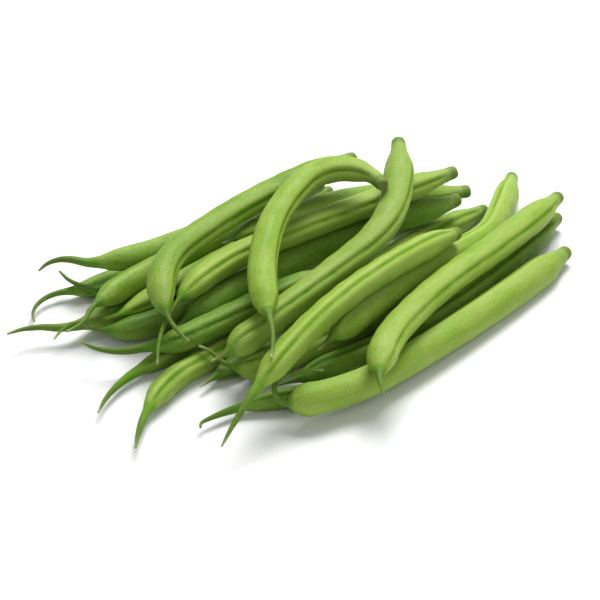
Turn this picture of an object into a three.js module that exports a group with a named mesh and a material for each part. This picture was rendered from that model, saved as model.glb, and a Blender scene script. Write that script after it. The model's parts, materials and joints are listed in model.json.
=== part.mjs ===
// A loose bundle of fresh green beans lying on a table, in millimetres, +Z up, +X towards the stem ends.
// Each bean is a closed tube made of arcs, walked from its snapped stem end to the tip of its beak. The beans
// are laid one after another: every one rests on the table and on the beans laid before it, and none touch.
import * as THREE from 'three';

// Driving sizes
const slim = 7.5; // width of a slender pod
const medium = 9;
const usual = 10;
const thick = 11;
const contactGap = 0.35; // clear space kept between two beans that lie against each other
const sides = 8; // flat faces around a bean, one of them facing straight down
const stationStep = 1.5; // distance between the places where a bean's rest is worked out

// How a bean's thickness changes from end to end
const tipRadius = 0.45; // very end of the beak
const beakRadius = 1.15; // beak where it meets the pod
const fleshyBeakRadius = 1.9; // the same on a pod that runs out into a thick beak
const shoulder = 13; // length over which a pod swells from the beak to its full width
const bluntShoulder = 7; // the same on a pod with a blunt end
const stemTaper = 20; // length over which a pod narrows towards its stem end
const stemRadius = 2.2; // snapped stem end

// How far apart the rings of a tube may be
const ringTravel = 6.5; // along the bean
const ringTurn = 0.21; // change of direction, radians
const ringSwell = 0.55; // change of radius

const tones = {
  bright: { color: 0x9cbf5a, roughness: 0.5 },
  middle: { color: 0x7da43c, roughness: 0.5 },
  deep: { color: 0x5c8526, roughness: 0.48 },
};

// The beans in the order they are laid. stem is the place of the snapped end on the table and heading the way
// the bean sets off from there, in degrees (180 is straight along the bundle, more leans to the front).
// Each arc is [length, bend sideways, bend upwards], bends in degrees, forwards and upwards positive.
const beans = [
  { name: 'back_low_bean', tone: 'middle', width: slim, stem: [25, 58], heading: 174,
    pod: [[64, 2], [14, -28]], beak: [[13, 52], [11, 45]] },
  { name: 'left_floor_bean', tone: 'middle', width: slim, fleshy: true, stem: [-7, 15], heading: 180,
    pod: [[55, 2]], beak: [[28, 35]] },
  { name: 'low_front_bean', tone: 'deep', width: slim, fleshy: true, stem: [-12, -41], heading: 155,
    pod: [[38, 4]], beak: [[18, 20], [3, 50]] },
  { name: 'left_front_floor_bean', tone: 'bright', width: medium, fleshy: true, stem: [18, 6], heading: 182,
    pod: [[68, 2], [26, 28]], beak: [[22, 15]] },
  { name: 'back_short_bean', tone: 'deep', width: slim, stem: [19, 50], heading: 174,
    pod: [[58, 2], [10, -50]], beak: [[16, -50]] },
  { name: 'inner_floor_bean', tone: 'deep', width: slim, stem: [12, -4], heading: 184,
    pod: [[46, -4], [12, 4]], beak: [[6, 8]] },
  { name: 'far_left_bean', tone: 'middle', width: medium, fleshy: true, stem: [9, 42], heading: 177,
    pod: [[40, 0, 3], [32, -2, 5]], beak: [[12, -35], [15, 40]] },
  { name: 'inner_left_bean', tone: 'deep', width: medium, stem: [15, 27], heading: 176,
    pod: [[56, 2], [20, -35]], beak: [[8, -45]] },
  { name: 'shaded_front_bean', tone: 'deep', width: usual, stem: [112, -14], heading: 198,
    pod: [[60, -8], [80, -22]], beak: [[7, -2]] },
  { name: 'long_front_bean', tone: 'bright', width: thick, blunt: true, stem: [99, -32], heading: 193,
    pod: [[105, -9], [38, -31]], beak: [[4, -40, 50], [8, -130, -30], [15, -10, -35]] },
  { name: 'curled_beak_bean', tone: 'bright', width: thick, blunt: true, stem: [57, -18], heading: 180,
    pod: [[60, -1], [30, -8], [8, -40]], beak: [[9, -40, 20], [6, 40]] },
  { name: 'right_middle_bean', tone: 'middle', width: usual, stem: [97, 9], heading: 182,
    pod: [[60, 10], [50, 3]], beak: [[6, 0]] },
  { name: 'pale_left_bean', tone: 'bright', width: slim, stem: [22, 38], heading: 179,
    pod: [[73, 2]], beak: [[10, -45], [18, 75]] },
  { name: 'right_floor_bean', tone: 'deep', width: medium, stem: [84, 20], heading: 166,
    pod: [[63, 14]], beak: [[6, 0]] },
  { name: 'back_curved_beak_bean', tone: 'middle', width: medium, fleshy: true, stem: [58, 51], heading: 174,
    pod: [[78, 4], [24, -24]], beak: [[8, -20, 10], [14, 10, -60]] },
  { name: 'deep_green_bean', tone: 'deep', width: usual, stem: [80, 6], heading: 178,
    pod: [[14, -16], [30, 8], [76, 16]], beak: [[5, 5]] },
  { name: 'long_beak_bean', tone: 'deep', width: usual, fleshy: true, stem: [12, -2], heading: 168,
    pod: [[56, 2], [14, -28]], beak: [[8, 18, 10], [19, -50, 10]] },
  { name: 'back_upper_bean', tone: 'middle', width: medium, stem: [48, 45], heading: 177,
    pod: [[78, 4, 4], [30, 16, 6]], beak: [[9, 25], [13, -40]] },
  { name: 'back_middle_bean', tone: 'middle', width: medium, stem: [93, 14], heading: 160,
    pod: [[26, -14], [32, 34, 3], [44, 6]], beak: [[5, 0]] },
  { name: 'ridged_bean', tone: 'bright', width: usual, stem: [80, 8], heading: 168,
    pod: [[80, 2], [42, 30]], beak: [[30, 30, -20]] },
  { name: 'crossing_bean', tone: 'middle', width: thick, blunt: true, stem: [66, 23], heading: 232,
    pod: [[30, -12], [30, -36], [62, -2]], beak: [[6, -20]] },
  { name: 'upright_stem_bean', tone: 'bright', width: usual, stem: [121, 19], heading: 220,
    pod: [[45, -6], [20, -26], [82, 6, -10]], beak: [[7, 2]] },
  { name: 'top_front_bean', tone: 'bright', width: thick, stem: [111, -15], heading: 196,
    pod: [[60, -6], [47, 12], [30, 26]], beak: [[12, 12]] },
  { name: 'diagonal_front_bean', tone: 'bright', width: usual, fleshy: true, stem: [58, -17], heading: 187,
    pod: [[55, 2, -12], [60, 6, -16]], beak: [[28, 8, -4]] },
  { name: 'bent_top_bean', tone: 'middle', width: usual, stem: [55, 35], heading: 172,
    pod: [[80, 16, -6], [36, 62, -10]], beak: [[14, 25]] },
  { name: 'arched_top_bean', tone: 'bright', width: usual, stem: [41, 4], heading: 70,
    pod: [[34, 120], [28, 26], [44, 26]], beak: [[20, -20]] },
];

// Radius at a distance s from the beak's tip of a bean of the given length
function beanRadius(bean, s, length) {
  const full = bean.width / 2;
  const beakLength = bean.beak.reduce((sum, [arc]) => sum + arc, 0);
  const swelling = bean.blunt ? bluntShoulder : shoulder;
  const intoPod = THREE.MathUtils.clamp((s - beakLength) / swelling, 0, 1);
  const beakBase = bean.fleshy ? fleshyBeakRadius : beakRadius;
  const beak = tipRadius + (beakBase - tipRadius) * Math.min(s / beakLength, 1);
  const pod = beak + (full - beak) * Math.sin((intoPod * Math.PI) / 2);
  const fromStem = THREE.MathUtils.clamp((length - s) / stemTaper, 0, 1);
  return Math.min(pod, stemRadius + (full - stemRadius) * Math.sin((fromStem * Math.PI) / 2));
}

// Walk a bean's arcs from the stem end, then list its stations from the beak's tip: each has its place, its
// lift off a straight lie, its distance from the tip and the bean's radius there
function walkBean(bean) {
  const arcs = [...bean.pod, ...bean.beak];
  const length = arcs.reduce((sum, [arc]) => sum + arc, 0);
  const stations = [{ x: bean.stem[0], y: bean.stem[1], lift: 0, s: length }];
  let heading = bean.heading;
  let climb = 0;
  for (const [arc, sideways, upwards = 0] of arcs) {
    const steps = Math.ceil(arc / stationStep);
    const step = arc / steps;
    for (let i = 0; i < steps; i++) {
      const last = stations[stations.length - 1];
      heading += sideways / steps;
      climb += upwards / steps;
      const way = THREE.MathUtils.degToRad(heading);
      const slope = THREE.MathUtils.degToRad(climb);
      stations.push({
        x: last.x + Math.cos(way) * Math.cos(slope) * step,
        y: last.y + Math.sin(way) * Math.cos(slope) * step,
        lift: last.lift + Math.sin(slope) * step,
        s: last.s - step,
      });
    }
  }
  for (const station of stations) station.r = beanRadius(bean, Math.max(station.s, 0), length);
  return stations.reverse();
}

// Lowest the middle of a bean can be at one station: clear of the table and of every bean laid before
function lowestHeight(station, laid) {
  let height = station.r * Math.cos(Math.PI / sides);
  for (const other of laid) {
    const reach = station.r + other.r + contactGap;
    const away = Math.hypot(station.x - other.x, station.y - other.y);
    if (away < reach) height = Math.max(height, other.z + Math.sqrt(reach * reach - away * away));
  }
  return height;
}

// Rest a bean like a straight edge: on the two supports either side of its middle that hold it highest
function layBean(line, laid) {
  const first = line[0];
  const last = line[line.length - 1];
  const along = new THREE.Vector2(last.x - first.x, last.y - first.y).normalize();
  const supports = line.map((p) => ({
    t: p.x * along.x + p.y * along.y,
    need: lowestHeight(p, laid) - p.lift,
    weight: p.r * p.r,
  }));
  const weight = supports.reduce((sum, p) => sum + p.weight, 0);
  const middle = supports.reduce((sum, p) => sum + p.t * p.weight, 0) / weight;
  let rest = { level: -Infinity };
  for (const left of supports.filter((p) => p.t <= middle)) {
    for (const right of supports.filter((p) => p.t > middle)) {
      const slope = (right.need - left.need) / (right.t - left.t);
      const level = left.need + slope * (middle - left.t);
      if (level > rest.level) rest = { level, slope };
    }
  }
  return line.map((p, i) => ({ ...p, z: rest.level + rest.slope * (supports[i].t - middle) + p.lift }));
}

// Stations that get a ring: enough to follow the bends and the swelling, and no more
function ringStations(line) {
  const heading = (i) => {
    const a = line[Math.max(i - 1, 0)];
    const b = line[Math.min(i + 1, line.length - 1)];
    return new THREE.Vector3(b.x - a.x, b.y - a.y, b.z - a.z).normalize();
  };
  const rings = [{ ...line[0], heading: heading(0) }];
  for (let i = 1; i < line.length; i++) {
    const before = rings[rings.length - 1];
    const turned = heading(i).angleTo(before.heading);
    const travelled = line[i].s - before.s;
    const swelled = Math.abs(line[i].r - before.r);
    const due = travelled > ringTravel || turned > ringTurn || swelled > ringSwell;
    if (due || i === line.length - 1) rings.push({ ...line[i], heading: heading(i) });
  }
  return rings;
}

// Path through a bean's rings. Its frames stay upright and are as large as the bean is thick at each ring, so a
// section of radius 1 extruded along it comes out as the bean
class BeanPath extends THREE.Curve {
  constructor(rings) {
    super();
    this.rings = rings;
  }

  getSpacedPoints() {
    return this.rings.map((ring) => new THREE.Vector3(ring.x, ring.y, ring.z));
  }

  computeFrenetFrames() {
    const frames = { tangents: [], normals: [], binormals: [] };
    for (const ring of this.rings) {
      const across = new THREE.Vector3(-ring.heading.y, ring.heading.x, 0).normalize();
      const up = new THREE.Vector3().crossVectors(ring.heading, across);
      frames.tangents.push(ring.heading);
      frames.normals.push(across.multiplyScalar(ring.r));
      frames.binormals.push(up.multiplyScalar(ring.r));
    }
    return frames;
  }
}

// Section of a bean of radius 1, with a flat side facing straight down
function beanSection() {
  const corners = [];
  for (let k = 0; k < sides; k++) {
    const angle = ((k + 0.5) * 2 * Math.PI) / sides;
    corners.push(new THREE.Vector2(Math.cos(angle), Math.sin(angle)));
  }
  return new THREE.Shape(corners);
}

// Lay the beans in turn
const laid = [];
const lines = beans.map((bean) => {
  const line = layBean(walkBean(bean), laid);
  laid.push(...line);
  return line;
});

const bundle = new THREE.Group();
bundle.name = 'green_bean_bundle';
beans.forEach((bean, i) => {
  const rings = ringStations(lines[i]);
  const extrusion = { extrudePath: new BeanPath(rings), steps: rings.length - 1 };
  const geometry = new THREE.ExtrudeGeometry(beanSection(), extrusion);
  const material = new THREE.MeshStandardMaterial({ ...tones[bean.tone], metalness: 0 });
  const mesh = new THREE.Mesh(geometry, material);
  mesh.name = bean.name;
  bundle.add(mesh);
});

// Put the middle of the bundle's footprint over the origin, with the table at zero height
const box = new THREE.Box3().setFromObject(bundle);
const middle = box.getCenter(new THREE.Vector3());
for (const mesh of bundle.children) mesh.geometry.translate(-middle.x, -middle.y, -box.min.z);

export default bundle;
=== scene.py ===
import json
import math
import random

import bmesh
import bpy
import numpy as np
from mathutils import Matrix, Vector


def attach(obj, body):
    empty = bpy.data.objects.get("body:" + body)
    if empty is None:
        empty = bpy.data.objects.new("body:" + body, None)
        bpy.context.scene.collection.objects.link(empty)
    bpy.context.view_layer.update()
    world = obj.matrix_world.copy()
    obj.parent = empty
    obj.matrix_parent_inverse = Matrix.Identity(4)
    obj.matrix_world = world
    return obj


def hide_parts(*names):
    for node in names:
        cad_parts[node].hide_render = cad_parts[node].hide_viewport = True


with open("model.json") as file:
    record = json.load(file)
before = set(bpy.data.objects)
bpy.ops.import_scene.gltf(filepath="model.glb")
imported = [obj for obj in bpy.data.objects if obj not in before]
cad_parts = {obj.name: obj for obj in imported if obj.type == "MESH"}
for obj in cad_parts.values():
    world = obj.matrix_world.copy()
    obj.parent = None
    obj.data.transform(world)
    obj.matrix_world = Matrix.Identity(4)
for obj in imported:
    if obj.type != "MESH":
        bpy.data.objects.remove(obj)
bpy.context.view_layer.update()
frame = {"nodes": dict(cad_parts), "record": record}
millimetre = 0.001
print("frame loaded:", len(frame["nodes"]), "nodes")

# How each bean lies and looks: seam is where its strong seam faces at the beak, in degrees from straight up
# towards the front of the heap, and twist how far that seam has turned at the stem end. Bulge is how much
# its seeds show, and shade how dark (+) or light (-) its skin is painted: partly its own tone among beans of
# the same green, partly painted shade, darker on the beans that lie low, at the left or at the back in the
# heap's shadow
beanLooks = {
    "back_low_bean": {"seam": 150, "twist": 20, "bulge": 0.6, "shade": 0.45},
    "left_floor_bean": {"seam": 30, "twist": -30, "bulge": 0.8, "shade": 0.5},
    "low_front_bean": {"seam": 20, "twist": 25, "bulge": 0.5, "shade": 0.3},
    "left_front_floor_bean": {"seam": 25, "twist": 20, "bulge": 1.0, "shade": 0.35},
    "back_short_bean": {"seam": 60, "twist": 30, "bulge": 0.7, "shade": 0.55},
    "inner_floor_bean": {"seam": 100, "twist": 10, "bulge": 0.6, "shade": 0.4},
    "far_left_bean": {"seam": 120, "twist": 35, "bulge": 0.8, "shade": 0.5},
    "inner_left_bean": {"seam": 160, "twist": 15, "bulge": 0.7, "shade": 0.6},
    "shaded_front_bean": {"seam": 5, "twist": 25, "bulge": 0.7, "shade": 0.3},
    "long_front_bean": {"seam": -48, "twist": 14, "bulge": 0.8, "shade": -0.1},
    "right_middle_bean": {"seam": 25, "twist": 12, "bulge": 0.9, "shade": 0.1},
    "pale_left_bean": {"seam": 70, "twist": 20, "bulge": 0.6, "shade": 0.1},
    "right_floor_bean": {"seam": 10, "twist": 20, "bulge": 0.6, "shade": 0.0},
    "back_curved_beak_bean": {"seam": 140, "twist": 20, "bulge": 0.8, "shade": 0.1},
    "deep_green_bean": {"seam": -30, "twist": -20, "bulge": 0.7, "shade": 0.15},
    "long_beak_bean": {"seam": 35, "twist": 20, "bulge": 1.0, "shade": 0.35},
    "back_upper_bean": {"seam": 150, "twist": 30, "bulge": 0.8, "shade": 0.3},
    "back_middle_bean": {"seam": 75, "twist": 15, "bulge": 0.7, "shade": 0.0},
    "ridged_bean": {"seam": 32, "twist": 30, "bulge": 0.7, "shade": -0.2},
    "crossing_bean": {"seam": 20, "twist": 55, "bulge": 1.0, "shade": -0.25},
    "curled_beak_bean": {"seam": 15, "twist": 40, "bulge": 0.8, "shade": -0.15},
    "upright_stem_bean": {"seam": -15, "twist": -8, "bulge": 0.9, "shade": -0.1},
    "top_front_bean": {"seam": 55, "twist": 5, "bulge": 0.8, "shade": 0.1},
    "diagonal_front_bean": {"seam": 36, "twist": -16, "bulge": 1.0, "shade": -0.05},
    "bent_top_bean": {"seam": 75, "twist": -10, "bulge": 0.7, "shade": 0.1},
    "arched_top_bean": {"seam": 85, "twist": -25, "bulge": 0.9, "shade": 0.0},
}

# Sizes of what every pod has, in millimetres unless said otherwise
podShape = {
    "ringStep": 0.9,          # distance between rings along a pod
    "sides": 40,              # points around a pod
    "crowding": 0.72,         # how closely those points gather at the seams, 0 to 1
    "thinnest": 0.3,          # least radius of a beak
    "flatness": 0.055,        # how much slimmer a pod is side to side than seam to seam, part of its radius
    "grooveDepth": 0.36,      # groove along each seam
    "grooveWidth": 0.75,
    "ridgeHeight": 0.26,      # rib on either side of the groove
    "ridgeOffset": 1.9,
    "ridgeWidth": 1.2,
    "backSeam": 0.45,         # strength of the weaker seam, with the strong one at 1
    "seedPitch": 10.5,        # length of one seed bulge
    "seedHeight": 0.11,
    "unevenness": 0.01,       # slow change of thickness, part of the radius
    "wavePitch": (37, 15),    # millimetres per radian of the two waves of that change
    "shortWave": 0.6,         # height of the second wave, with the first at 1
    "fullPod": (0.3, 0.8),    # seams and seeds grow between these parts of the greatest radius
    "plainStem": (1, 9),      # and fade out between these distances from the stem end
    "tableGap": 0.01,         # a skin that would reach lower than this is flattened, as by the table under it
}

# Stem end: a collar at the snapped face, a narrow neck behind it, and the rings that close both ends
endShape = {
    "collarHeight": 0.26,
    "collarPlace": 0.6,       # distances from the stem end
    "collarWidth": 1.3,
    "neckDepth": 0.13,        # part of the radius
    "neckPlace": 6.5,
    "neckWidth": 4.0,
    "tipAngles": (1.35, 1.0, 0.6, 0.3),  # rings that round the beak's tip, in radians from its widest ring
    # rings beyond the stem end: distance, part of the radius, how much of the scar's colour they have
    "stemRings": ((0.25, 0.99, 0.0), (0.5, 0.93, 0.0), (0.66, 0.83, 0.5), (0.68, 0.72, 0.9),
                  (0.5, 0.6, 1.0), (0.33, 0.4, 1.0), (0.33, 0.18, 1.0)),
}

# Where the colours of the ends begin and stop
tintReach = {
    "beak": (0.2, 0.62),      # from beak to pod, as parts of the greatest radius
    "stem": (0.5, 16),        # distances from the stem end
    "tip": 1.6,               # distance in which the dry tip fades to a third
    "dryness": (0.1, 1.0),    # least and most dry tip
    "patternShift": 500,      # each bean takes its pattern from its own place within this distance
}

cadTube = {"sides": 8, "weld": 0.01}  # corners closer than the weld are one corner, in millimetres


# Middles and radii of a bean's CAD tube ring by ring from the beak, in metres
def cadRings(nodeName):
    tube = bmesh.new()
    tube.from_mesh(frame["nodes"][nodeName].data)
    bmesh.ops.remove_doubles(tube, verts=tube.verts, dist=cadTube["weld"] * millimetre)
    tube.verts.ensure_lookup_table()
    places = np.array([corner.co for corner in tube.verts])
    gaps = np.sort(np.linalg.norm(places[:, None] - places[None], axis=2), axis=1)
    tightest = places[int(np.argmin(gaps[:, cadTube["sides"] - 1]))]  # the smallest ring is the beak's tip
    nearest = np.argsort(np.linalg.norm(places - tightest, axis=1))[:cadTube["sides"]]
    ring = [tube.verts[int(i)] for i in nearest]
    seen = set(ring)
    middles, radii = [], []
    while ring:
        corners = np.array([corner.co for corner in ring])
        middle = corners.mean(axis=0)
        middles.append(middle)
        radii.append(np.linalg.norm(corners - middle, axis=1).mean())
        beyond = {edge.other_vert(corner) for corner in ring for edge in corner.link_edges} - seen
        seen |= beyond
        ring = list(beyond)
    tube.free()
    return np.array(middles), np.array(radii)


# Smooth curve through values known at knots, read at other places
def smoothThrough(knots, values, wanted):
    values = np.asarray(values).reshape(len(knots), -1)
    slopes = np.gradient(values, knots, axis=0)
    part = np.clip(np.searchsorted(knots, wanted) - 1, 0, len(knots) - 2)
    width = (knots[part + 1] - knots[part])[:, None]
    t = (wanted[:, None] - knots[part][:, None]) / width
    fromLeft = (2 * t**3 - 3 * t**2 + 1) * values[part] + (t**3 - 2 * t**2 + t) * width * slopes[part]
    fromRight = (3 * t**2 - 2 * t**3) * values[part + 1] + (t**3 - t**2) * width * slopes[part + 1]
    return fromLeft + fromRight


# Rises smoothly from 0 at low to 1 at high
def smoothStep(value, low, high):
    t = np.clip((value - low) / (high - low), 0, 1)
    return t * t * (3 - 2 * t)


# 1 at place, falling smoothly to 0 on both sides
def bell(value, place, width):
    return np.exp(-(((value - place) / width) ** 2))


# Angles around a pod, measured from its strong seam and gathered at both seams
def seamAngles():
    even = np.linspace(0, 2 * math.pi, podShape["sides"], endpoint=False)
    return even - podShape["crowding"] / 2 * np.sin(2 * even)


# Angle to the strong seam, whichever side it is on
def fromSeam(angle):
    return np.abs((angle + math.pi) % (2 * math.pi) - math.pi)


# One ring of skin, in millimetres: along is its distance from the beak's tip, scar how much of the
# snapped face's colour it has
def ringAt(middle, radius, heading, along, scar=0.0):
    return {"middle": middle, "radius": radius, "heading": heading, "along": along, "scar": scar}


# Fine rings from beak to stem end, and the length of the CAD tube. The first and last rings round the
# ends off beyond that tube
def fineRings(nodeName):
    middles, radii = cadRings(nodeName)
    middles, radii = middles / millimetre, radii / millimetre
    steps = np.linalg.norm(np.diff(middles, axis=0), axis=1)
    knots = np.concatenate([[0], np.cumsum(steps)])
    length = knots[-1]
    along = np.linspace(0, length, int(length / podShape["ringStep"]))
    line = smoothThrough(knots, middles, along)
    radius = np.maximum(smoothThrough(knots, radii, along)[:, 0], podShape["thinnest"])
    heading = np.gradient(line, along, axis=0)
    heading /= np.linalg.norm(heading, axis=1)[:, None]
    rings = []
    for angle in endShape["tipAngles"]:
        far = -math.sin(angle) * radius[0]
        rings.append(ringAt(line[0] + heading[0] * far, radius[0] * math.cos(angle), heading[0], far))
    rings += [ringAt(*ring) for ring in zip(line, radius, heading, along)]
    for far, size, scar in endShape["stemRings"]:
        rings.append(ringAt(line[-1] + heading[-1] * far, radius[-1] * size, heading[-1], length + far, scar))
    return rings, length


# Height of the skin above a plain round tube, in millimetres, at angles from the strong seam
def skinHeight(angle, radius, along, podPart, bulge, phase):
    shape = podShape
    half = fromSeam(angle)
    height = -shape["flatness"] * radius * np.sin(angle) ** 2
    for distance, strength in ((half * radius, 1.0), ((math.pi - half) * radius, shape["backSeam"])):
        groove = bell(distance, 0, shape["grooveWidth"]) * shape["grooveDepth"]
        ridge = bell(distance, shape["ridgeOffset"], shape["ridgeWidth"]) * shape["ridgeHeight"]
        height += (ridge - groove) * strength * podPart
    seeds = math.sin(along / shape["seedPitch"] * 2 * math.pi + phase) * shape["seedHeight"] * bulge
    height += seeds * np.sin(angle) ** 2 * podPart
    longPitch, shortPitch = shape["wavePitch"]
    slow = math.sin(along / longPitch + phase)
    slow += shape["shortWave"] * math.sin(along / shortPitch + 2 * phase)
    return height + slow * shape["unevenness"] * radius * podPart


# How full the pod is at a ring: 0 on the beak and at the stem end, 1 between them
def fullness(ring, bean):
    atBeak = smoothStep(ring["radius"] / bean["thickest"], *podShape["fullPod"])
    atStem = smoothStep(bean["length"] - ring["along"], *podShape["plainStem"])
    return float(atBeak * atStem)


# Points of one ring, in millimetres
def ringPlaces(ring, bean):
    radius, heading, along = ring["radius"], ring["heading"], ring["along"]
    looks, angles = bean["looks"], bean["angles"]
    fromStem = bean["length"] - along
    height = skinHeight(angles, radius, along, fullness(ring, bean), looks["bulge"], bean["phase"])
    collar = endShape["collarHeight"] * bell(fromStem, endShape["collarPlace"], endShape["collarWidth"])
    neck = endShape["neckDepth"] * radius * bell(fromStem, endShape["neckPlace"], endShape["neckWidth"])
    reach = (radius + height + collar - neck)[:, None]
    across = np.array([-heading[1], heading[0], 0.0])
    across /= np.linalg.norm(across)
    up = np.cross(heading, across)
    turned = angles + math.radians(looks["seam"] + looks["twist"] * along / bean["length"])
    outward = up * np.cos(turned)[:, None] - across * np.sin(turned)[:, None]
    places = ring["middle"] + reach * outward
    places[:, 2] = np.maximum(places[:, 2], podShape["tableGap"])
    return places


# What the skin materials need to know at a ring, the same all around it
def ringTints(ring, bean):
    fromStem = bean["length"] - ring["along"]
    beak = 1 - float(smoothStep(ring["radius"] / bean["thickest"], *tintReach["beak"]))
    return {
        "beakTint": beak * (fromStem > bean["length"] / 2),
        "stemTint": 1 - float(smoothStep(fromStem, *tintReach["stem"])),
        "scarTint": ring["scar"],
        "tipTint": bean["dryTip"] * math.exp(-max(ring["along"], 0) / tintReach["tip"]),
        "shade": bean["looks"]["shade"],
    }


# What they need to know at each point of a ring: the distances to both seams, how full the pod is, and
# the place on an unbent, untwisted bean, so that the patterns follow its bends
def pointTints(ring, bean):
    radius, angles = ring["radius"], bean["angles"]
    half = fromSeam(angles)
    spot = np.full_like(angles, ring["along"] + bean["offset"])
    return {
        "seamGap": half * radius,
        "backGap": (math.pi - half) * radius,
        "podTint": np.full_like(angles, fullness(ring, bean)),
        "straight": np.stack([spot, radius * np.cos(angles), radius * np.sin(angles)], axis=1),
    }


# The same for the point in the middle of an end
def poleTints(ring, bean):
    straight = (ring["along"] + bean["offset"], 0.0, 0.0)
    return {"seamGap": 0.0, "backGap": 0.0, "podTint": 0.0, "straight": straight}


# Quads between neighbouring rings, and a fan around the middle point of each end
def skinFaces(ringCount, sides):
    faces = []
    for i in range(ringCount - 1):
        for k in range(sides):
            near, far = i * sides + k, i * sides + (k + 1) % sides
            faces.append((near, far, far + sides, near + sides))
    for pole, first in ((ringCount * sides, 0), (ringCount * sides + 1, (ringCount - 1) * sides)):
        faces += [(first + k, first + (k + 1) % sides, pole) for k in range(sides)]
    return faces


def storeOnPoints(mesh, name, values):
    kind, field = ("FLOAT_VECTOR", "vector") if name == "straight" else ("FLOAT", "value")
    flat = np.array(values, dtype=np.float32).ravel()
    mesh.attributes.new(name, kind, "POINT").data.foreach_set(field, flat)


def faceOutwards(mesh):
    turned = bmesh.new()
    turned.from_mesh(mesh)
    bmesh.ops.recalc_face_normals(turned, faces=turned.faces)
    turned.to_mesh(mesh)
    turned.free()


# One bean as a single closed mesh, with what its skin needs to know stored on the points
def makeBean(nodeName, looks, chance):
    rings, length = fineRings(nodeName)
    bean = {
        "looks": looks,
        "length": length,
        "thickest": max(ring["radius"] for ring in rings),
        "angles": seamAngles(),
        "phase": chance.uniform(0, 2 * math.pi),
        "offset": chance.uniform(0, tintReach["patternShift"]),
        "dryTip": chance.uniform(*tintReach["dryness"]),
    }
    sides = len(bean["angles"])
    places = []
    stored = {}
    for ring in rings:
        places.extend(ringPlaces(ring, bean))
        for name, values in pointTints(ring, bean).items():
            stored.setdefault(name, []).extend(values)
        for name, value in ringTints(ring, bean).items():
            stored.setdefault(name, []).extend([value] * sides)
    for ring in (rings[0], rings[-1]):
        places.append(ring["middle"])
        for name, value in {**poleTints(ring, bean), **ringTints(ring, bean)}.items():
            stored[name].append(value)
    mesh = bpy.data.meshes.new(nodeName + "_skin")
    mesh.from_pydata([tuple(place * millimetre) for place in places], [], skinFaces(len(rings), sides))
    faceOutwards(mesh)
    for name, values in stored.items():
        storeOnPoints(mesh, name, values)
    mesh.shade_smooth()
    skin = bpy.data.objects.new(nodeName + "_skin", mesh)
    bpy.context.scene.collection.objects.link(skin)
    return skin


# Small helpers for node trees
def addNode(tree, kind, values=None, **settings):
    node = tree.nodes.new(kind)
    for name, value in settings.items():
        setattr(node, name, value)
    for name, value in (values or {}).items():
        node.inputs[name].default_value = value
    return node


def attribute(tree, name, output="Fac"):
    return addNode(tree, "ShaderNodeAttribute", attribute_name=name).outputs[output]


def mathNode(tree, operation, first, second, clamp=False):
    node = addNode(tree, "ShaderNodeMath", operation=operation, use_clamp=clamp)
    for socket, value in zip(node.inputs, (first, second)):
        if isinstance(value, (int, float)):
            socket.default_value = value
        else:
            tree.links.new(value, socket)
    return node.outputs[0]


def plus(tree, first, second, clamp=False):
    return mathNode(tree, "ADD", first, second, clamp)


def times(tree, first, second, clamp=False):
    return mathNode(tree, "MULTIPLY", first, second, clamp)


# Turns low to high into toLow to toHigh, smoothly
def rangeNode(tree, value, low, high, toLow=0.0, toHigh=1.0):
    node = addNode(tree, "ShaderNodeMapRange", interpolation_type="SMOOTHSTEP")
    for name, setting in (("From Min", low), ("From Max", high), ("To Min", toLow), ("To Max", toHigh)):
        node.inputs[name].default_value = setting
    tree.links.new(value, node.inputs["Value"])
    return node.outputs["Result"]


def mixColor(tree, factor, first, second):
    node = addNode(tree, "ShaderNodeMix", data_type="RGBA", blend_type="MIX")
    sockets = (node.inputs[0], node.inputs[6], node.inputs[7])  # factor and the two colours
    for socket, value in zip(sockets, (factor, first, second)):
        if isinstance(value, bpy.types.NodeSocket):
            tree.links.new(value, socket)
        else:
            socket.default_value = value
    return node.outputs[2]


def noiseNode(tree, vector, scale, detail=3.0, roughness=0.55):
    node = addNode(tree, "ShaderNodeTexNoise", {"Scale": scale, "Detail": detail, "Roughness": roughness})
    tree.links.new(vector, node.inputs["Vector"])
    return node.outputs["Fac"]


def stretched(tree, vector, scale):
    node = addNode(tree, "ShaderNodeMapping", {"Scale": scale}, vector_type="POINT")
    tree.links.new(vector, node.inputs["Vector"])
    return node.outputs["Vector"]


def newGroup(name, inputs, outputs):
    group = bpy.data.node_groups.new(name, "ShaderNodeTree")
    for label, kind, value in inputs:
        socket = group.interface.new_socket(label, in_out="INPUT", socket_type=kind)
        socket.default_value = value
    for label, kind in outputs:
        group.interface.new_socket(label, in_out="OUTPUT", socket_type=kind)
    return group, group.nodes.new("NodeGroupInput"), group.nodes.new("NodeGroupOutput")


# Patterns of the green: scales are per millimetre, and stretches under 1 draw a pattern out along the bean
greenPattern = {
    "patchScale": 0.16,
    "patchStretch": (0.35, 1.0, 1.0),
    "patchEdge": (0.35, 0.68),
    "patchStrength": 0.7,
    "streakScale": 1.1,
    "streakStretch": (0.12, 1.0, 1.0),
    "streakEdge": (0.35, 0.7),
    "streakStrength": 0.3,
    "paleness": 0.8,
    "darkStart": 0.42,        # patches below this value are dark
    "darkShift": -0.25,       # how a bean's shade moves the value of its patches
    "darkStrength": 1.6,
    "shadeDeepens": 0.6,
    "shadeBrightens": -1.2,
    # Pale speckles: partly the skin's own dots, partly painted glints of the fine hairs
    "dotScale": 1.5,
    "dotRoughness": 0.75,
    "dotEdge": (0.54, 0.70),
    "dotColor": (0.52, 0.66, 0.26, 1),
}
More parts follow.
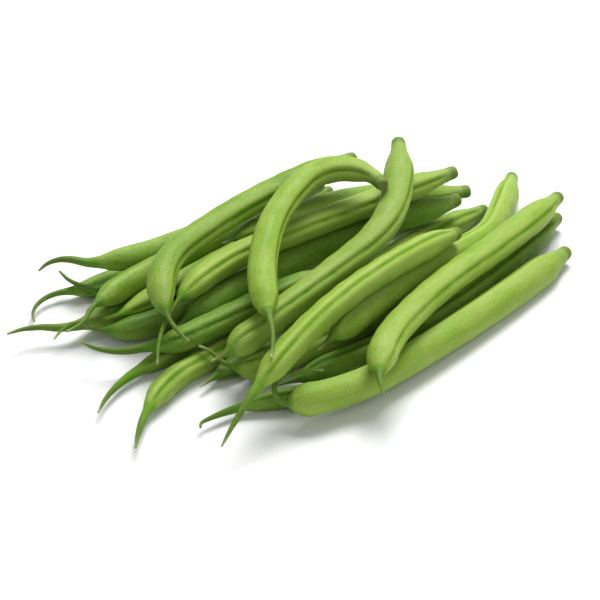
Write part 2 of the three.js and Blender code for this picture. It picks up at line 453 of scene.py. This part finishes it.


# Green of the pod: slow patches, lengthwise streaks, painted shade from the bean's shade value, and fine pale
# speckles that are partly the skin's own dots and partly painted glints of its fine hairs
def makePodGreen():
    group, given, made = newGroup(
        "podGreen",
        [("Pale", "NodeSocketColor", (0.4, 0.6, 0.15, 1)),
         ("Body", "NodeSocketColor", (0.2, 0.4, 0.06, 1)),
         ("Deep", "NodeSocketColor", (0.1, 0.25, 0.03, 1)),
         ("Speckle", "NodeSocketFloat", 0.3)],
        [("Color", "NodeSocketColor")])
    look = greenPattern
    straight = attribute(group, "straight", "Vector")
    shade = attribute(group, "shade")
    patches = noiseNode(group, stretched(group, straight, look["patchStretch"]), look["patchScale"])
    streaks = noiseNode(group, stretched(group, straight, look["streakStretch"]), look["streakScale"])
    palePatches = rangeNode(group, patches, *look["patchEdge"], 0.0, look["patchStrength"])
    paleStreaks = times(group, rangeNode(group, streaks, *look["streakEdge"]), look["streakStrength"])
    light = times(group, plus(group, palePatches, paleStreaks), look["paleness"], clamp=True)
    green = mixColor(group, light, given.outputs["Body"], given.outputs["Pale"])
    # A bean's shade value deepens or pales its whole skin: partly its own tone, partly painted shade on beans
    # lying low or at the back of the heap and painted light on beans on top
    shifted = plus(group, patches, times(group, shade, look["darkShift"]))
    dark = times(group, mathNode(group, "SUBTRACT", look["darkStart"], shifted), look["darkStrength"])
    deepen = plus(group, dark, times(group, shade, look["shadeDeepens"]), clamp=True)
    green = mixColor(group, deepen, green, given.outputs["Deep"])
    brighten = times(group, shade, look["shadeBrightens"], clamp=True)
    green = mixColor(group, brighten, green, given.outputs["Pale"])
    # Fine pale speckles: partly the skin's own dots, partly painted glints of the down of fine hairs
    dots = noiseNode(group, straight, look["dotScale"], roughness=look["dotRoughness"])
    paleDotAndGlintMask = times(group, rangeNode(group, dots, *look["dotEdge"]), given.outputs["Speckle"])
    green = mixColor(group, paleDotAndGlintMask, green, look["dotColor"])
    group.links.new(green, made.inputs["Color"])
    return group


# Lines of the seams: distances in millimetres from the seam, strengths 0 to 1
seamPattern = {
    "strengths": {"seamGap": 0.80, "backGap": 0.35},
    "ribRise": (0.7, 1.6),
    "ribFall": (1.8, 3.4),
    "ribStrength": 0.45,
    "lineEdge": (0.2, 2.0),   # in widths of the line
    "breakScale": 0.12,
    "breakDetail": 2.0,
    "breakEdge": (0.35, 0.62),
    "breakLeast": 0.35,
}


# Dark line of both seams, partly the seam's own green and partly painted shade in its groove, with a paler
# rib on either side, partly the rib's own green and partly painted light on the raised rib
def makeSeamTint():
    group, given, made = newGroup(
        "seamTint",
        [("Color", "NodeSocketColor", (0.3, 0.5, 0.1, 1)),
         ("Line", "NodeSocketColor", (0.07, 0.2, 0.02, 1)),
         ("Rib", "NodeSocketColor", (0.5, 0.66, 0.2, 1)),
         ("Width", "NodeSocketFloat", 0.5)],
        [("Color", "NodeSocketColor")])
    look = seamPattern
    green = given.outputs["Color"]
    straight = attribute(group, "straight", "Vector")
    pod = attribute(group, "podTint")
    breaks = noiseNode(group, straight, look["breakScale"], look["breakDetail"])
    broken = rangeNode(group, breaks, *look["breakEdge"], look["breakLeast"], 1.0)
    for name, strength in look["strengths"].items():
        gap = attribute(group, name)
        rise = rangeNode(group, gap, *look["ribRise"])
        fall = rangeNode(group, gap, *look["ribFall"], 1.0, 0.0)
        ribAndLitRidgeMask = times(group, times(group, times(group, rise, fall), pod), look["ribStrength"] * strength)
        green = mixColor(group, ribAndLitRidgeMask, green, given.outputs["Rib"])
        spread = mathNode(group, "DIVIDE", gap, given.outputs["Width"])
        line = times(group, rangeNode(group, spread, *look["lineEdge"], 1.0, 0.0), broken)
        lineAndGrooveShadeMask = times(group, times(group, line, pod), strength)
        green = mixColor(group, lineAndGrooveShadeMask, green, given.outputs["Line"])
    group.links.new(green, made.inputs["Color"])
    return group


# How strongly the ends are tinted, and over which part of their masks
endPattern = {
    "unevenScale": 0.5,
    "unevenEdge": (0.3, 0.65),
    "shoulderEdge": (0.02, 0.5),
    "shoulder": 0.75,
    "beakEdge": (0.55, 1.0),
    "beak": (0.45, 0.95),     # least and most, as the uneven pattern goes
    "stem": (0.3, 0.75),
    "collarEdge": (0.90, 0.99),
    "collar": 0.8,
    "scar": 0.85,
}


# Shoulder, beak, dry tip, stem end, collar and snapped face each take their own colour
def makeEndTint():
    group, given, made = newGroup(
        "endTint",
        [("Color", "NodeSocketColor", (0.3, 0.5, 0.1, 1)),
         ("Shoulder", "NodeSocketColor", (0.14, 0.36, 0.02, 1)),
         ("Beak", "NodeSocketColor", (0.105, 0.165, 0.022, 1)),
         ("Stem", "NodeSocketColor", (0.24, 0.35, 0.085, 1)),
         ("Tip", "NodeSocketColor", (0.50, 0.50, 0.27, 1)),
         ("Collar", "NodeSocketColor", (0.120, 0.200, 0.025, 1)),
         ("Scar", "NodeSocketColor", (0.20, 0.22, 0.08, 1))],
        [("Color", "NodeSocketColor")])
    look = endPattern
    beak = attribute(group, "beakTint")
    stem = attribute(group, "stemTint")
    uneven = noiseNode(group, attribute(group, "straight", "Vector"), look["unevenScale"])
    shoulder = times(group, rangeNode(group, beak, *look["shoulderEdge"]), look["shoulder"])
    beakMask = times(group, rangeNode(group, beak, *look["beakEdge"]),
                     rangeNode(group, uneven, *look["unevenEdge"], *look["beak"]))
    stemMask = times(group, stem, rangeNode(group, uneven, *look["unevenEdge"], *look["stem"]))
    collarMask = times(group, rangeNode(group, stem, *look["collarEdge"]), look["collar"])
    scarMask = times(group, attribute(group, "scarTint"), look["scar"])
    green = given.outputs["Color"]
    for mask, label in ((shoulder, "Shoulder"), (beakMask, "Beak"), (attribute(group, "tipTint"), "Tip"),
                        (stemMask, "Stem"), (collarMask, "Collar"), (scarMask, "Scar")):
        green = mixColor(group, mask, green, given.outputs[label])
    group.links.new(green, made.inputs["Color"])
    return group


# Patterns of the fine relief, and how rough the wax on the skin is
reliefPattern = {
    "ringScale": 1.3,
    "ringStretch": (1.6, 0.12, 0.12),
    "veinScale": 1.5,
    "veinStretch": (0.1, 1.0, 1.0),
    "veinStrength": 0.5,
    "lineDetail": 2.0,
    "downScale": 1.9,
    "downRoughness": 0.8,
    "pitScale": 0.9,
    "pitStrength": 0.35,
    "waxEdge": (0.3, 0.7),
    "wax": (0.42, 0.58),
    "grooveEdge": (0.4, 1.4),  # distances from the strong seam
    "grooveWax": 0.3,
}


# Relief of the skin: faint rings across the pod, lengthwise veins and a down of fine hairs
def makeSkinRelief():
    group, given, made = newGroup(
        "skinRelief",
        [("Striation", "NodeSocketFloat", 0.5), ("Down", "NodeSocketFloat", 0.4)],
        [("Height", "NodeSocketFloat"), ("Wax", "NodeSocketFloat")])
    look = reliefPattern
    straight = attribute(group, "straight", "Vector")
    ringSpot = stretched(group, straight, look["ringStretch"])
    veinSpot = stretched(group, straight, look["veinStretch"])
    across = noiseNode(group, ringSpot, look["ringScale"], look["lineDetail"])
    veins = noiseNode(group, veinSpot, look["veinScale"], look["lineDetail"])
    down = noiseNode(group, straight, look["downScale"], roughness=look["downRoughness"])
    pitted = noiseNode(group, straight, look["pitScale"])
    streaked = plus(group, across, times(group, veins, look["veinStrength"]))
    lines = times(group, streaked, given.outputs["Striation"])
    hairs = times(group, down, given.outputs["Down"])
    height = plus(group, plus(group, lines, hairs), times(group, pitted, look["pitStrength"]))
    group.links.new(height, made.inputs["Height"])
    wax = rangeNode(group, pitted, *look["waxEdge"], *look["wax"])
    groove = rangeNode(group, attribute(group, "seamGap"), *look["grooveEdge"], look["grooveWax"], 0.0)
    group.links.new(plus(group, wax, groove), made.inputs["Wax"])
    return group


groups = {
    "green": makePodGreen(),
    "seam": makeSeamTint(),
    "ends": makeEndTint(),
    "relief": makeSkinRelief(),
}

# Greens of the three kinds of skin, partly the beans' own greens and partly painted shade: the bright skin
# goes on beans lying on top, the deep skin on beans lying beneath others
skinTones = {
    "bright_skin": {
        "pale": (0.330, 0.445, 0.085, 1),
        "body": (0.205, 0.365, 0.014, 1),
        "deep": (0.090, 0.215, 0.003, 1),
    },
    "middle_skin": {
        "pale": (0.285, 0.395, 0.072, 1),
        "body": (0.160, 0.310, 0.010, 1),
        "deep": (0.064, 0.170, 0.002, 1),
    },
    "deep_skin": {
        "pale": (0.190, 0.310, 0.035, 1),
        "body": (0.110, 0.250, 0.007, 1),
        "deep": (0.040, 0.118, 0.002, 1),
    },
}

# What all three share; line, rib and shoulder say how those colours differ from a tone
skinFinish = {
    "specular": 0.26,
    "depth": 0.12,                    # how much light goes under the skin
    "depthRadius": (0.6, 1.0, 0.2),
    "depthScale": 0.0018,             # metres
    # strength of the pale speckles, partly painted glints of the fine hairs
    "speckle": 0.42,
    "line": (1.15, 1.15, 1.15),       # of the deep tone
    "rib": (1.25, 1.25, 1.25),        # of the pale tone
    "shoulder": (0.55, 0.80, 0.3),    # of the body tone
    "bumpStrength": 1.0,
    "bumpDepth": 0.00032,             # metres
}


def tinted(color, factors):
    return [factor * channel for factor, channel in zip(factors, color)] + [1]


def makeSkin(slotName):
    tone = skinTones[slotName]
    skin = bpy.data.materials.new(slotName)
    skin.use_nodes = True
    tree = skin.node_tree
    shader = tree.nodes["Principled BSDF"]
    shader.inputs["Specular IOR Level"].default_value = skinFinish["specular"]
    shader.inputs["Subsurface Weight"].default_value = skinFinish["depth"]
    shader.inputs["Subsurface Radius"].default_value = skinFinish["depthRadius"]
    shader.inputs["Subsurface Scale"].default_value = skinFinish["depthScale"]
    green = addNode(tree, "ShaderNodeGroup", node_tree=groups["green"])
    for label, key in (("Pale", "pale"), ("Body", "body"), ("Deep", "deep")):
        green.inputs[label].default_value = tone[key]
    green.inputs["Speckle"].default_value = skinFinish["speckle"]
    seam = addNode(tree, "ShaderNodeGroup", node_tree=groups["seam"])
    seam.inputs["Line"].default_value = tinted(tone["deep"], skinFinish["line"])
    seam.inputs["Rib"].default_value = tinted(tone["pale"], skinFinish["rib"])
    ends = addNode(tree, "ShaderNodeGroup", node_tree=groups["ends"])
    ends.inputs["Shoulder"].default_value = tinted(tone["body"], skinFinish["shoulder"])
    relief = addNode(tree, "ShaderNodeGroup", node_tree=groups["relief"])
    bump = addNode(tree, "ShaderNodeBump")
    bump.inputs["Strength"].default_value = skinFinish["bumpStrength"]
    bump.inputs["Distance"].default_value = skinFinish["bumpDepth"]
    tree.links.new(green.outputs["Color"], seam.inputs["Color"])
    tree.links.new(seam.outputs["Color"], ends.inputs["Color"])
    tree.links.new(ends.outputs["Color"], shader.inputs["Base Color"])
    tree.links.new(relief.outputs["Wax"], shader.inputs["Roughness"])
    tree.links.new(relief.outputs["Height"], bump.inputs["Height"])
    tree.links.new(bump.outputs["Normal"], shader.inputs["Normal"])
    return skin


skins = {slotName: makeSkin(slotName) for slotName in skinTones}
print("skins made:", len(skins))

slotOf = {part["node"]: part["material_slot"] for part in frame["record"]["subparts"]}
for number, (nodeName, looks) in enumerate(beanLooks.items()):
    bean = makeBean(nodeName, looks, random.Random(number))
    bean.data.materials.append(skins[slotOf[nodeName]])
    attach(bean, "root")
    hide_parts(nodeName)
print("beans made:", len(beanLooks))

# Table top, in metres
tableTop = {"size": 6.0, "color": (0.90, 0.90, 0.90, 1), "roughness": 0.6, "specular": 0.2}


def makeTable():
    half = tableTop["size"] / 2
    mesh = bpy.data.meshes.new("table_top")
    corners = [(-half, -half, 0), (half, -half, 0), (half, half, 0), (-half, half, 0)]
    mesh.from_pydata(corners, [], [(0, 1, 2, 3)])
    paper = bpy.data.materials.new("table_paper")
    paper.use_nodes = True
    shader = paper.node_tree.nodes["Principled BSDF"]
    shader.inputs["Base Color"].default_value = tableTop["color"]
    shader.inputs["Roughness"].default_value = tableTop["roughness"]
    shader.inputs["Specular IOR Level"].default_value = tableTop["specular"]
    mesh.materials.append(paper)
    top = bpy.data.objects.new("table_top", mesh)
    bpy.context.scene.collection.objects.link(top)
    return top


makeTable()
print("table made")

# Light: a wide soft box above and behind to the right, a weaker one in front, and an even room
lightSet = {
    "key": {"place": (0.40, 0.30, 0.85), "size": 0.60, "power": 13.5},
    "front": {"place": (-0.30, -0.85, 0.75), "size": 0.9, "power": 2.8},
}
roomLight = {"color": (1, 1, 1, 1), "strength": 0.28}


def makeLight(name, place, size, power):
    lamp = bpy.data.lights.new(name, "AREA")
    lamp.shape = "SQUARE"
    lamp.size = size
    lamp.energy = power
    holder = bpy.data.objects.new(name, lamp)
    holder.location = place
    holder.rotation_euler = (-Vector(place)).to_track_quat("-Z", "Y").to_euler()
    bpy.context.scene.collection.objects.link(holder)


def makeRoom():
    room = bpy.data.worlds.new("room")
    room.use_nodes = True
    background = room.node_tree.nodes["Background"]
    background.inputs["Color"].default_value = roomLight["color"]
    background.inputs["Strength"].default_value = roomLight["strength"]
    bpy.context.scene.world = room


for name, settings in lightSet.items():
    makeLight(name, **settings)
makeRoom()
bpy.context.scene.view_settings.view_transform = "Standard"
print("lights made:", len(lightSet))

# Camera, looking down on the heap from its front left: metres, degrees, and the lens in millimetres
cameraSet = {
    "aim": (-0.0162, -0.0031, 0.012),
    "distance": 1.17,
    "tilt": 35,
    "turn": 41,
    "lens": 200,
    "nearest": 0.01,
}


def makeCamera():
    tilt, turn = math.radians(cameraSet["tilt"]), math.radians(cameraSet["turn"])
    back = Vector((-math.cos(tilt) * math.sin(turn), -math.cos(tilt) * math.cos(turn), math.sin(tilt)))
    data = bpy.data.cameras.new("camera")
    data.lens = cameraSet["lens"]
    data.clip_start = cameraSet["nearest"]
    holder = bpy.data.objects.new("camera", data)
    holder.location = Vector(cameraSet["aim"]) + back * cameraSet["distance"]
    holder.rotation_euler = (-back).to_track_quat("-Z", "Y").to_euler()
    bpy.context.scene.collection.objects.link(holder)
    bpy.context.scene.camera = holder


makeCamera()
print("camera set")
